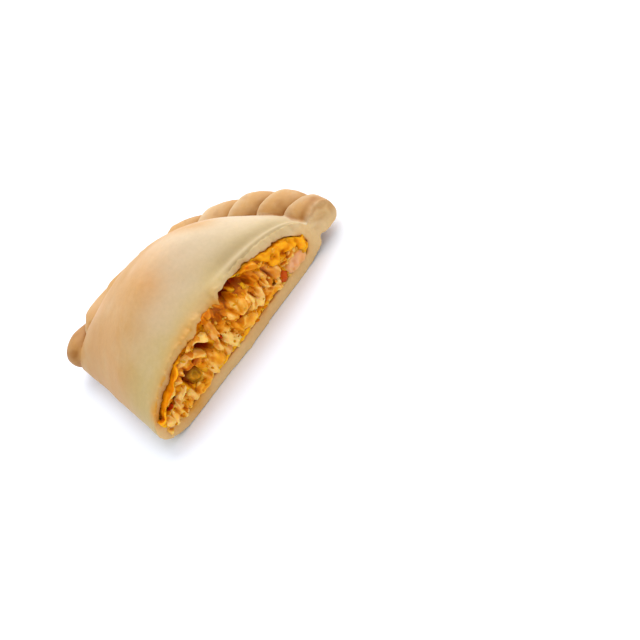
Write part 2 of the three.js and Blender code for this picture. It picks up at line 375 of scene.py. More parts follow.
def seam_curve():
    """Points of the seam, closer together towards the tip, with the length run from the cut to each."""
    share = 1 - (1 - np.linspace(0, 1, 401)) ** 3
    wide = np.maximum(0, 1 - share**PLAN_POWER) ** (1 / PLAN_POWER)
    curve = np.stack([TIP_WIDTH + (SEAM_REACH - TIP_WIDTH) * wide, share * TIP_REACH], axis=1)
    run = np.concatenate([[0], np.cumsum(np.hypot(*np.diff(curve, axis=0).T))])
    return curve, run


def beside_seam(points, skip=4, batch=20000):
    """For each point, the run along the seam from the cut and how far out from the seam it lies.

    A batch of points at a time is compared with the seam's points, of which it skips some.
    """
    curve, run = seam_curve()
    tangent = np.gradient(curve, axis=0)
    tangent /= np.linalg.norm(tangent, axis=1, keepdims=True)
    runs = np.empty(len(points))
    outs = np.empty(len(points))
    for start in range(0, len(points), batch):
        part = points[start : start + batch, :2]
        away = ((part[:, None, :] - curve[None, ::skip]) ** 2).sum(axis=2)
        nearest = away.argmin(axis=1) * skip
        offset = part - curve[nearest]
        along = tangent[nearest]
        runs[start : start + len(part)] = run[nearest] + (offset * along).sum(axis=1)
        outs[start : start + len(part)] = offset[:, 0] * along[:, 1] - offset[:, 1] * along[:, 0]
    return runs, outs


def creases():
    """Runs of the creases between the rope's tongues."""
    length = seam_curve()[1][-1]
    found = [FIRST_CREASE - CREASE_PITCH]
    while found[-1] < length - LEAST_PITCH:
        share = max(0, found[-1]) / length
        found.append(found[-1] + CREASE_PITCH + (LEAST_PITCH - CREASE_PITCH) * share)
    return np.array(found + [length + PAST_TIP])


def faint(run):
    """How much fainter the creases are between the middle of the seam and the knob."""
    return bell(run, *FAINT_CREASES)


def crispness(run):
    """How crisp the creases are along the seam."""
    return 1 - 0.8 * faint(run)


# The dough.


class DoughSettings(bpy.types.PropertyGroup):
    """The sizes and colours of the dough"""

    voxel: length_choice("Voxel", "Grain of the remeshed dough", 0.45)
    crease_depth: length_choice("Crease depth", "Depth cut behind each tongue's edge", 0.95)
    unevenness: length_choice("Unevenness", "Height of the dome's swells and dents", 0.3)
    crumb_depth: length_choice("Crumb depth", "Depth of the pits in the cut dough", 0.2)
    cream: colour_choice("Cream", "Barely browned dough", "#ccb594")
    # This coat is fat-soaked dough, and also painted shade by the cut and at the fold.
    oiled: colour_choice("Oiled", "Thin dough that fat has soaked", "#bca268")
    # Painted shade on the lip's curl and in its groove.
    fatty: colour_choice("Fatty", "Lip that lies on the filling", "#9c8252")
    blush: colour_choice("Blush", "The more baked places", "#d49c64")
    tan: colour_choice("Tan", "The baked rim", "#c19153")
    # Baked brown, and painted shade in the rim's creases and where the rim meets the dome.
    brown: colour_choice("Brown", "Creases of the rim", "#9a6220")
    # Also painted highlight on the tongues' raised edges and on the ridge behind the lip's groove.
    edge: colour_choice("Edge", "Thin edges of the tongues", "#d9c39e")
    crumb: colour_choice("Crumb", "Soft dough inside the cut", "#d6b27a")
    stain: colour_choice("Stain", "Dough stained by the filling", "#cc8a22")


def baked_dough(settings):
    """Wheat dough baked to a pale gold: matt, slightly translucent, browner where it baked more, with
    painted shade and highlight in some of its coats.
    """
    material, tree = new_material("baked_wheat_dough")
    place = add(tree, "ShaderNodeTexCoord").outputs["Object"]
    # Clouds of browning some 7 mm across, and mottling of about 1.2 mm.
    clouds = add(
        tree,
        "ShaderNodeTexNoise",
        {"Vector": place, "Scale": 1 / (7 * MM), "Detail": 4.0, "Roughness": 0.55},
    )
    mottle = add(
        tree,
        "ShaderNodeTexNoise",
        {"Vector": place, "Scale": 1 / (1.2 * MM), "Detail": 4.0, "Roughness": 0.6},
    )
    uneven = add(
        tree,
        "ShaderNodeMapRange",
        {"Value": clouds.outputs["Fac"], 1: 0.3, 2: 0.7, 3: 0.75, 4: 1.25},
    )
    # Each coat lies over the ones before it, stronger and weaker with the clouds: browning, staining,
    # painted shade and painted highlight.
    colour = list(settings.cream)
    for name in ("oiled", "fatty", "blush", "tan", "brown", "edge", "crumb", "stain"):
        amount = add(tree, "ShaderNodeAttribute", attribute_name=name).outputs["Fac"]
        if name in ("oiled", "blush", "tan"):
            scaled = add(
                tree,
                "ShaderNodeMath",
                {0: amount, 1: uneven.outputs["Result"]},
                operation="MULTIPLY",
                use_clamp=True,
            )
            amount = scaled.outputs[0]
        coat = add(
            tree,
            "ShaderNodeMix",
            {0: amount, 6: colour, 7: list(getattr(settings, name))},
            data_type="RGBA",
        )
        colour = coat.outputs[2]
    shade = add(
        tree,
        "ShaderNodeMapRange",
        {"Value": mottle.outputs["Fac"], 1: 0.3, 2: 0.7, 3: 0.965, 4: 1.035},
    )
    shaded = add(
        tree,
        "ShaderNodeVectorMath",
        {0: colour, "Scale": shade.outputs["Result"]},
        operation="SCALE",
    )
    # A floury grain of about 0.5 mm over soft waves of 1.2 mm.
    grain = add(
        tree,
        "ShaderNodeTexNoise",
        {"Vector": place, "Scale": 1 / (0.5 * MM), "Detail": 3.0, "Roughness": 0.6},
    )
    fine = add(
        tree,
        "ShaderNodeBump",
        {"Height": grain.outputs["Fac"], "Strength": 0.2, "Distance": 0.05 * MM},
    )
    waves = add(
        tree,
        "ShaderNodeBump",
        {
            "Height": mottle.outputs["Fac"],
            "Strength": 0.4,
            "Distance": 0.08 * MM,
            "Normal": fine.outputs["Normal"],
        },
    )
    shader = add(
        tree,
        "ShaderNodeBsdfPrincipled",
        {
            "Base Color": shaded.outputs["Vector"],
            "Roughness": 0.5,
            "IOR": 1.45,
            "Specular IOR Level": 0.3,
            "Subsurface Weight": 0.15,
            "Subsurface Radius": (1.0, 0.55, 0.25),
            "Subsurface Scale": 1.0 * MM,
            "Normal": waves.outputs["Normal"],
        },
    )
    add(tree, "ShaderNodeOutputMaterial", {"Surface": shader.outputs["BSDF"]})
    return material


def tongues(run, out):
    """How far each point lies past the crease at its tongue's tail, and before the one at its edge."""
    lines = creases()
    place = run + TONGUE_SLANT * (out - ROPE_MIDDLE)
    tongue = np.clip(np.searchsorted(lines, place) - 1, 0, len(lines) - 2)
    return place - lines[tongue], lines[tongue + 1] - place


def refine(piece, wanted):
    """Divides the faces whose corners are all wanted."""
    only(piece)
    piece.data.vertices.foreach_set("select", np.zeros(len(piece.data.vertices), bool))
    piece.data.edges.foreach_set("select", np.zeros(len(piece.data.edges), bool))
    for face in piece.data.polygons:
        face.select = all(wanted[v] for v in face.vertices)
    bpy.ops.object.mode_set(mode="EDIT")
    bpy.ops.mesh.select_mode(type="FACE")
    bpy.ops.mesh.subdivide(number_cuts=1)
    bpy.ops.object.mode_set(mode="OBJECT")


class EMPANADA_OT_dough(bpy.types.Operator):
    """Models the dough from its solid: remeshed, smoothed and shaped at the rope, the lip and the cut"""

    bl_idname = "empanada.dough"
    bl_label = "Dough"

    def execute(self, context):
        settings = context.scene.empanada_dough
        piece = copy_of(CRUST, "dough")
        apply(piece, "REMESH", mode="VOXEL", voxel_size=settings.voxel)
        self.thin_out(piece)
        points = points_of(piece)
        run, out = beside_seam(points)
        tail, edge = tongues(run, out)
        z = points[:, 2]
        near_crease = (tail < 2.2) | (edge < 2.0)
        refine(piece, (out > -0.6) & (z < ROPE_TOP) & (z > 4.5) & near_crease)
        refine(piece, points_of(piece)[:, 1] < 1.6)
        smoothed(piece, 2)
        points = points_of(piece)
        x, y, z = points.T
        run, out = beside_seam(points)
        on_rope = smooth(out, -1.2, 0.4) * (z < ROPE_TOP)
        outer = 1 - smooth(-distance_to(FILLING_SURFACE, points), -0.9, -0.5)
        behind = smooth(y, 3, 8)
        smoothed(piece, 40, "dome", behind * smooth(-out, 0.8, 4))
        smoothed(piece, 6, "lip", smooth(4 - y, 0, 2) * smooth(z, 8, 10) * (1 - on_rope))
        smoothed(piece, 6, "end", smooth(x, 60.5, 62) * smooth(2.5 - y, 0, 2))
        # The tongues flatten towards the tip.
        smoothed(piece, 30, "tip", faint(run) * on_rope)
        points = points_of(piece)
        normals = normals_of(piece)
        x, y, z = points.T
        run, out = beside_seam(points)
        # Tongues: each thin edge stands proud of the crease in front of it.
        tail, edge = tongues(run, out)
        crease = np.exp(-tail / 1.0) * smooth(tail, -0.08, 0.12) * on_rope
        relief = 0.35 * bell(edge, 0.8, 0.7) * on_rope - crease
        height = settings.crease_depth / MM * crispness(run) * relief
        swell = swells(points, 13, 1) + 0.4 * swells(points, 5, 2)
        height += settings.unevenness / MM * swell * behind * (1 - on_rope) * outer
        # The cut faces are soft crumb with small pits and tears.
        cut = smooth(-normals[:, 1], 0.35, 0.75) * smooth(-y, -3.2, -2.2)
        pits = np.minimum(0, swells(points, 1.3, 3) + 0.15) + 0.5 * swells(points, 0.8, 4)
        height += settings.crumb_depth / MM * pits * cut
        # The rim narrows before the knob.
        height -= 0.8 * bell(run, 79, 6) * smooth(out, 1, 5) * on_rope
        # The lip curls: its groove lies close behind the cut, and the dough sags a little behind it.
        curl = smooth(x, 28.2, 47) * smooth(z, 8.2, 11.2) * (1 - on_rope)
        height -= curl * (0.14 * bell(y, 1.1, 0.8) + 0.1 * bell(y, 6.5, 3))
        move_to(piece, points + normals * height[:, None])
        smoothed(piece, 2, "rope", 0.6 * on_rope)
        points = points_of(piece)
        # The cut lip is ragged, and the cut end of the rope is dented.
        lip = smooth(2.5 - y, 0, 2.5) * smooth(z, 8, 12)
        points[:, 2] += lip * ragged(x)
        points[:, 1] += lip * 0.5 * swells_along(x, 1.7, 10)
        points[:, 1] += 0.9 * smooth(3 - y, 0, 3) * within(x, z, ROPE_DENT, 2)
        points[:, 1] += 0.5 * swells(points, 2.0, 16) * smooth(x, 60.5, 62.5) * smooth(2 - y, 0, 2)
        # The lip's inner side hangs lower in places.
        inner = smooth(-distance_to(FILLING_SURFACE, points), -1.7, -0.5)
        inner = inner * smooth(4 - y, 0, 3) * smooth(z, 8, 10)
        points[:, 2] -= bells(x, LIP_DROPS) * inner
        distance = distance_to(FILLING_SURFACE, points)
        # The torn flap of the upper lip hangs over the filling.
        hanging = smooth(FLAP_REACH - y, 0, FLAP_REACH) * smooth(z, 13, 16)
        fall = bells(x, FLAP) * hanging * (0.4 + 0.6 * smooth(-distance, -1.9, -0.4))
        points[:, 2] -= fall
        points[:, 1] -= 0.35 * fall
        points[:, 2] = np.maximum(points[:, 2], 0)
        move_to(piece, points)
        coats = self.coats(piece, on_rope, tail, edge, run, out, cut, distance)
        # The stain on the hanging flap is partly painted shade where it hangs over the filling.
        coats["stain"] = coats["stain"] + 0.6 * smooth(fall, 0.7, 2.3)
        coats["edge"] = self.edges(piece, on_rope, tail, edge, run)
        for name, amount in coats.items():
            store(piece, name, np.clip(amount, 0, 1))
        settle(piece, baked_dough(settings))
        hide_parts("crust")
        return {"FINISHED"}

    def thin_out(self, piece):
        """Gives the inside of the pocket and the underside fewer faces than what shows."""
        points = points_of(piece)
        inside = (points[:, 1] > 5) & (distance_to(FILLING_SURFACE, points) < 1.0)
        hidden = inside | (points[:, 2] < 0.6)
        group(piece, "hidden", hidden.astype(float))
        share = 1 - 0.85 * np.mean(hidden)
        apply(piece, "DECIMATE", ratio=share, vertex_group="hidden", vertex_group_factor=1000)

    def edges(self, piece, on_rope, tail, edge, run):
        """How cream each vertex is, along the thin leading edges of the tongues and of the cut dough,
        with painted highlight on the tongues' raised edges and on the ridge behind the lip's groove.
        """
        x, y, z = points_of(piece).T
        # Painted highlight on each tongue's raised leading edge, and paler towards that edge.
        rim = bell(edge, 0.3, 0.4) * smooth(relief_of(piece, 8), 0.0, 0.12)
        front = 0.4 * smooth(0.32 - edge / (edge + tail), 0, 0.3)
        # The cut end of the rope is cream round its border and towards the dome.
        border = bell(in_patch(x, z, ROPE_END), 0.92, 0.13) * bell(y, 0.2, 1.0)
        border = border * smooth(x, 60, 61.5) * smooth(z, 5, 8)
        end = 0.6 * within(x, z, ROPE_EDGE, 2) * smooth(-y, -2.5, -0.5)
        end = end + 0.75 * border * smooth(70 - x, 0, 4)
        end = end + 0.5 * smooth(0.9 - y, 0, 0.6) * within(x, z, ROPE_CRUMB, 2)
        pale = 0.5 * smooth(x, 53, 57) * smooth(-y, -1, 0) * smooth(7 - z, 0, 3)
        # A pale line along the cut edge, and painted highlight on the ridge behind the lip's groove.
        ridge = 0.3 * smooth(-y, -0.5, -0.1) + 0.35 * bell(y, 2.9, 0.8)
        pale = pale + ridge * smooth(x, 30, 44) * smooth(z, 9, 11) * (1 - on_rope)
        return on_rope * (1 - 0.9 * faint(run)) * np.maximum(0.95 * rim, front) + end + pale

    def coats(self, piece, on_rope, tail, edge, run, out, cut, distance):
        """How strong each coat of browning or staining is at each vertex."""
        points = points_of(piece)
        x, y, z = points.T
        dome = 1 - on_rope
        # Fat has soaked the dome by the cut and at the fold, and the same coat paints shade there, where
        # the dome turns away from the light. It is more baked further back.
        upper = smooth(z, 9, 13)
        left = 1 - smooth(x, 12, 42)
        oiled = smooth(22 - x, 0, 26) + 0.95 * bell(y, -1, 9) * upper
        # Painted shade on the lip's curl: a broad band behind the cut and a darker line in its groove.
        greased = 0.75 * bell(y, 3.4, 3.4) + 0.9 * bell(y, 1.1, 0.7)
        fatty = 0.95 * greased * smooth(x, 34, 43) * (1 - smooth(x, 56, 62)) * upper * (1 - cut)
        blush = 0.5 * bell(np.hypot(x - 24.8, y - 16.8), 0, 4.2) + 0.6 * bell(x, 24, 13) * bell(y, 26, 13)
        blush = blush + 0.6 * smooth(y, 30, 46) * smooth(x, 4, 16)
        baked = 0.95 * smooth(y, 5, 22) * left * (1 - 0.6 * smooth(y, 30, 44) * smooth(x, 6, 16))
        slope = 1.1 * smooth(out, -20, -13) * smooth(y, 12, 20)
        slope = slope * (1 - smooth(x, 44, 54)) * smooth(x, 14, 26)
        # A tongue is paler at its leading edge and browner towards the tongue that lies over its tail.
        # That browning is painted shade, cast by the tongue over it and deeper in the valley by the dome.
        share = edge / (edge + tail)
        crisp = crispness(run)
        near_cut = 1 - smooth(run, 14, 32)
        valley = 0.7 + 0.7 * smooth(3 - out, 0, 4)
        tongue = 0.62 + 0.4 * share + 0.4 * near_cut + 0.15 * smooth(run, 60, 92) + 0.3 * faint(run)
        shaded = 0.8 * crisp * np.exp(-tail / 0.8)
        shaded = shaded + (0.42 + 0.12 * near_cut) * crisp * smooth(share, 0.35, 1.0) * valley
        # Painted shade along the line where the rim meets the dome.
        rim = smooth(run, 50, 60) * (1 - smooth(run, 84, 90)) * smooth(out, -0.4, 0.4)
        shaded = shaded + 0.1 * near_cut + 0.35 * rim
        knob = smooth(run, 84, 92) * (0.25 + 0.3 * smooth(8 - z, 0, 4))
        # Painted shade in the concave folds of the dome beside the rope.
        folds = smooth(-relief_of(piece, 8), 0.03, 0.18) * smooth(out, -2.0, -1.0) * smooth(y, 3, 6)
        # The cut end of the rope is golden round its rim, and pale in its middle.
        end_face = smooth(x, 61.5, 63) * smooth(1.2 - y, 0, 0.6)
        spots = 0.3 * smooth(swells(points, 3.5, 15), 0.05, 0.45) * (1 - end_face)
        middle = in_patch(x, z, ROPE_END)
        rough = middle + 0.25 * swells(points, 1.8, 17)
        end = smooth(x, 61.5, 63) * smooth(rough, 0.35, 0.75) * smooth(1.8 - y, 0, 1.2)
        end = np.minimum(1.15 * end * smooth(x + z, 71, 75), 1)
        # Painted shade in the crease behind the rope's cut end.
        behind_end = bell(y, 2.6, 1.2) * smooth(x, 61, 63) * smooth(x + z, 70, 74)
        brown = on_rope * (shaded + knob + 0.45 * behind_end + spots) + 0.6 * folds
        brown = brown + 0.15 * end * smooth(x + z, 73, 79)
        brown = brown + 0.16 * smooth(y, 26, 40) * (1 - smooth(x, 8, 20)) * dome
        crumb = cut * (1 - 0.6 * smooth(z, 10, 12)) * (1 - 0.8 * end)
        crumb = crumb * (1 - 0.6 * end_face * bell(middle, 0, 0.6))
        # The filling stains the cut floor below it, the inside of the pocket and the lip.
        spill = 0.4 + bells(x, STAINS)
        uneven = 1 + 0.6 * swells(points, 2.2, 14)
        below = spill * uneven * np.exp((0.5 - distance) / (0.3 + 1.5 * spill))
        below = below * cut * (1 - smooth(z, 9, 11))
        lining = smooth(-distance, -1.3, -0.45) * smooth(-y, -6, -2) * (1 - cut)
        lip = (0.35 + 0.25 * bell(x, 19, 6) * uneven) * bell(y, 0, 3)
        lip = lip * smooth(x, -6, 2) * (1 - smooth(x, 30, 38)) * upper
        drop = 0.9 * within(x, z, CHEESE_DROP, 2) * smooth(-y, -4, 0)
        return {
            "oiled": oiled * dome,
            "fatty": fatty * dome,
            "blush": blush * dome,
            "tan": on_rope * tongue + (baked + slope) * dome + 0.9 * end,
            "brown": brown,
            "crumb": crumb,
            "stain": 0.95 * below + 0.85 * lining + lip + drop,
        }


# The filling.


class FillingSettings(bpy.types.PropertyGroup):
    """The sizes and colours of the filling"""

    seed: IntProperty(name="Seed", description="Start of the filling's random draws", default=11)
    cheese_grain: length_choice("Cheese grain", "Grain of the remeshed cheese", 0.36)
    meat_grain: length_choice("Meat grain", "Grain of the remeshed meat", 0.26)
    crumbs: IntProperty(name="Crumbs", description="How many fine crumbs lie on the filling", default=110)
    # The darker ends of these colours are partly painted shade in folds, and the paler ends partly
    # painted highlight on raised places.
    cheese: colour_choice("Cheese", "Melted cheddar", "#d87e00")
    cheese_pale: colour_choice("Pale cheese", "Raised cheddar", "#f4a81c")
    cheese_dark: colour_choice("Dark cheese", "Folds of the cheddar that coats the meat", "#b45400")
    cheese_core: colour_choice("Cheese in the folds", "Folds of the bare cheddar", "#a84a00")
    # Deep is painted shade, dark red-brown, in the hollows and in deep folds.
    deep: colour_choice("Deep", "Sauce in the hollows", "#a82c00")
    meat: colour_choice("Meat", "Cooked minced meat", "#e0921e")
    meat_pale: colour_choice("Pale meat", "Torn edges of the meat", "#f6c870")
    meat_dark: colour_choice("Dark meat", "Folds of the meat", "#a44e00")
    meat_brown: colour_choice("Brown meat", "Between the folds and the surface", "#cc6e00")
    rosy: colour_choice("Rosy meat", "Pinker pieces of meat", "#d6985c")
    ham: colour_choice("Ham", "Pink ham", "#d68c50")
    pepper: colour_choice("Pepper", "Red pepper", "#a43000")
    pickle: colour_choice("Pickle", "Olive pickle", "#a06a0c")


# Hollows in the cut filling: place along x and z, half width and height, lean and depth.
HOLLOWS = [
    (34.0, 17.0, 1.8, 2.1, 0, 5.5),
    (37.9, 16.2, 2.7, 1.1, -24, 5.0),
    (19.7, 12.2, 1.3, 2.4, 40, 5.0),
    (20.7, 11.1, 1.2, 1.7, 30, 5.0),
    (2.2, 8.9, 1.6, 0.5, 0, 1.8),
    (25.0, 9.4, 0.7, 1.3, 10, 2.5),
    (10.3, 9.6, 0.6, 2.8, 0, 1.8),
    (45.6, 10.4, 0.5, 2.4, 8, 2.0),
    (33.4, 8.8, 1.6, 0.5, -14, 2.0),
    (40.2, 14.2, 0.7, 1.6, 20, 2.2),
    (38.8, 9.6, 0.4, 2.0, 10, 2.0),
    (5.0, 8.6, 0.5, 1.4, -10, 1.6),
    (51.6, 7.9, 1.9, 0.35, 0, 1.3),
]

# Cheese that lies bare at the cut: place along x and z, half width and height, lean and stand-out.
CHEESE_PATCHES = [
    (50.4, 13.2, 5.0, 2.4, -25, 1.2),
    (49.6, 11.0, 2.4, 2.4, 0, 1.3),
    (54.6, 10.4, 3.2, 2.2, -38, 1.1),
    (58.0, 7.8, 1.9, 3.0, -20, 0.9),
    (4.4, 12.7, 5.6, 1.3, 22, 1.4),
    (9.6, 14.2, 2.4, 0.9, 22, 0.8),
    (-1.5, 8.8, 1.8, 2.4, 0, 1.1),
    (-1.9, 7.6, 1.0, 2.3, 10, 0.9),
    (28.0, 4.5, 18.0, 0.9, 0, 0.7),
]

# Where melted cheese covers the meat: place along x and z, half width and height, lean and share.
COATS = [
    (-0.4, 9.6, 1.4, 1.2, 0, 0.9),
    (6.6, 5.2, 1.2, 2.0, 0, 0.8),
    (12.8, 4.6, 3.2, 1.5, 0, 0.9),
    (16.4, 9.0, 1.0, 1.7, 30, 0.85),
    (20.4, 6.6, 1.9, 2.4, 0, 0.9),
    (26.0, 12.6, 0.6, 2.6, -8, 0.8),
    (29.9, 7.6, 1.3, 2.2, 5, 0.85),
    (33.4, 6.4, 2.8, 1.9, 0, 0.75),
    (42.6, 5.2, 3.0, 1.0, 0, 0.9),
]

# Paler and darker places: place along x and z, half width and height, lean and change of tone.
TINTS = [
    (48.8, 10.4, 1.0, 1.7, 0, 0.3),
    (-1.0, 8.6, 1.2, 1.4, 0, -0.35),
    (53.7, 10.9, 1.2, 0.8, 0, -0.4),
    (51.5, 7.9, 1.8, 0.5, 0, -0.5),
    (58.9, 7.2, 0.8, 2.0, -15, -0.5),
    (5.2, 10.8, 4.0, 0.5, 22, 0.3),
    (35.0, 15.2, 3.4, 0.7, -5, -0.3),
    (28.4, 14.2, 2.2, 1.2, 0, -0.3),
    (40.6, 14.2, 1.4, 1.6, 10, -0.3),
    (10.4, 8.0, 0.8, 3.4, 0, -0.4),
    (13.6, 11.8, 3.0, 1.2, 0, -0.45),
    (21.4, 15.0, 2.8, 1.6, 0, 0.45),
    (14.5, 14.6, 2.4, 1.2, 0, 0.2),
    (26.6, 8.2, 2.2, 2.0, 0, 0.2),
    (8.2, 7.8, 2.6, 1.6, 0, 0.15),
]


def hollow_at(x, z):
    """How deep the hollows are at a place on the cut, in millimetres."""
    deep = np.zeros_like(x)
    for patch in HOLLOWS:
        deep = np.maximum(deep, patch[5] * within(x, z, patch, 3))
    return deep


def roof_above(x):
    """Height of the dough's roof over the filling, a little behind the cut, in millimetres."""
    behind, height = ROOF_FROM
    spot = CRUST_SURFACE.ray_cast(in_frame(x, behind, height), Vector((0, 0, 1)))[0]
    return height if spot is None else spot.z / MM


# The roof at each half millimetre along the filling, lower where the lip hangs and under the flap.
ROOF_X = np.arange(-1.0, 59, 0.5)
ROOF_Z = np.array([roof_above(x) for x in ROOF_X]) + ragged(ROOF_X) - bells(ROOF_X, LIP_DROPS)
ROOF_Z -= 0.4 * bells(ROOF_X, FLAP)


def kept_inside(points):
    """Points near the cut, held under the dough's roof, over its floor and between its sides.

    In front of the cut they may hang lower, where the filling has run over the floor.
    """
    held = points.copy()
    held[:, 0] = np.clip(held[:, 0], *FILLING_ENDS)
    roof = np.interp(held[:, 0], ROOF_X, ROOF_Z) - 0.05
    floor = FLOOR_WALL - 0.1 - bells(held[:, 0], SPILLS) * smooth(-held[:, 1], 0.1, 0.4)
    held[:, 2] = np.clip(held[:, 2], floor, np.maximum(roof, FLOOR_WALL))
    return held


def juicy(name, stops, rough, settings, fibre=(1, 1, 1), speckle=1.1, coat=0.0):
    """A moist cooked surface, with colours from its folds to its raised edges: painted shade in the
    folds, painted highlight on the raised edges, and painted shade dark deep in a hollow.

    A vertex's tone is its relief and its own tint, varied by a fine noise drawn out along the fibres; its
    relief paints shade and highlight.
    Melted cheese coats it in patches some 3 mm across, up to the share given.
    """
    material, tree = new_material(name)
    place = add(tree, "ShaderNodeTexCoord").outputs["Object"]
    drawn = add(tree, "ShaderNodeVectorMath", {0: place, 1: fibre}, operation="MULTIPLY")
    tone = add(tree, "ShaderNodeAttribute", attribute_name="tone").outputs["Fac"]
    deep = add(tree, "ShaderNodeAttribute", attribute_name="deep").outputs["Fac"]
    fine = add(
        tree,
        "ShaderNodeTexNoise",
        {
            "Vector": drawn.outputs["Vector"],
            "Scale": 1 / (speckle * MM),
            "Detail": 5.0,
            "Roughness": 0.65,
        },
    )
    spread = add(
        tree,
        "ShaderNodeMapRange",
        {"Value": fine.outputs["Fac"], 1: 0.3, 2: 0.7, 3: -0.12, 4: 0.12},
    )
    varied = add(tree, "ShaderNodeMath", {0: tone, 1: spread.outputs["Result"]}, operation="ADD")
    ramp = add(tree, "ShaderNodeValToRGB", {"Fac": varied.outputs[0]})
    marks = ramp.color_ramp.elements
    marks[0].position, marks[0].color = stops[0]
    marks[1].position, marks[1].color = stops[-1]
    for position, tint in stops[1:-1]:
        marks.new(position).color = tint
    melted = add(tree, "ShaderNodeValToRGB", {"Fac": varied.outputs[0]})
    marks = melted.color_ramp.elements
    marks[0].position, marks[0].color = 0.1, settings.cheese_dark
    marks[1].position, marks[1].color = 1.0, settings.cheese_pale
    marks.new(0.5).color = settings.cheese
    clouds = add(
        tree,
        "ShaderNodeTexNoise",
        {"Vector": place, "Scale": 1 / (3.2 * MM), "Detail": 4.0, "Roughness": 0.6},
    )
    share = add(
        tree,
        "ShaderNodeMapRange",
        {"Value": clouds.outputs["Fac"], 1: 0.48, 2: 0.6, 3: 0.0, 4: coat},
    )
    rosy = add(tree, "ShaderNodeAttribute", attribute_name="rosy").outputs["Fac"]
    cover = add(tree, "ShaderNodeAttribute", attribute_name="cover").outputs["Fac"]
    covered = add(
        tree,
        "ShaderNodeMath",
        {0: cover, 1: share.outputs["Result"]},
        operation="MAXIMUM",
    )
    # Pinker meat, melted cheese and the painted shade of the hollows lie over it in turn.
    layers = [
        (rosy, list(settings.rosy)),
        (covered.outputs[0], melted.outputs["Color"]),
        (deep, list(settings.deep)),
    ]
    colour = ramp.outputs["Color"]
    for amount, layer in layers:
        mixed = add(tree, "ShaderNodeMix", {0: amount, 6: colour, 7: layer}, data_type="RGBA")
        colour = mixed.outputs[2]
    bump = add(
        tree,
        "ShaderNodeBump",
        {"Height": fine.outputs["Fac"], "Strength": 0.4, "Distance": 0.1 * MM},
    )
    shader = add(
        tree,
        "ShaderNodeBsdfPrincipled",
        {
            "Base Color": colour,
            "Roughness": rough,
            "IOR": 1.43,
            "Specular IOR Level": 0.05,
            "Subsurface Weight": 0.7,
            "Subsurface Radius": (1.0, 0.5, 0.12),
            "Subsurface Scale": 1.6 * MM,
            "Normal": bump.outputs["Normal"],
        },
    )
    add(tree, "ShaderNodeOutputMaterial", {"Surface": shader.outputs["BSDF"]})
    return material


def roughened(piece, large, small, seed):
    """Roughens a piece's surface with lumps about 1.6 mm and grains about 0.7 mm across."""
    points = points_of(piece)
    height = large * swells(points, 1.6, seed) + small * swells(points, 0.7, seed + 1)
    move_to(piece, kept_inside(points + normals_of(piece) * height[:, None]))


def toned(piece, tint, gain):
    """Keeps the tone and the depth of each vertex for the material, with painted shade and highlight,
    paler towards the floor.
    """
    relief = relief_of(piece, 40)
    x, y, z = points_of(piece).T
    low = 0.22 * smooth(11 - z, 0, 5) - 0.15 * smooth(z, 13, 15) + patched(x, z, TINTS)
    # The relief in the tone is painted shade in the folds and painted highlight on raised places.
    store(piece, "tone", np.clip(tint + low + gain * relief, -0.5, 1.5))
    # The depth is painted shade: darker where the surface lies further behind the cut, away from the
    # fold's end, and in deep folds.
    inward = 0.95 * smooth(y, 1.5, 3.4) * smooth(x, -2.4, -0.6)
    store(piece, "deep", np.clip(inward + 0.45 * smooth(-relief, 0.3, 1.0), 0, 0.95))


def lump_at(x, y, z, size, detail, lean):
    """A ball with its middle and half sizes in millimetres, leaning in the plane of the cut."""
    bpy.ops.mesh.primitive_ico_sphere_add(subdivisions=detail, radius=1, location=in_frame(x, y, z))
    piece = bpy.context.object
    piece.scale = Vector(size) * MM
    piece.rotation_euler = tilt(lean)
    bpy.ops.object.transform_apply(location=True, rotation=True, scale=True)
    return piece


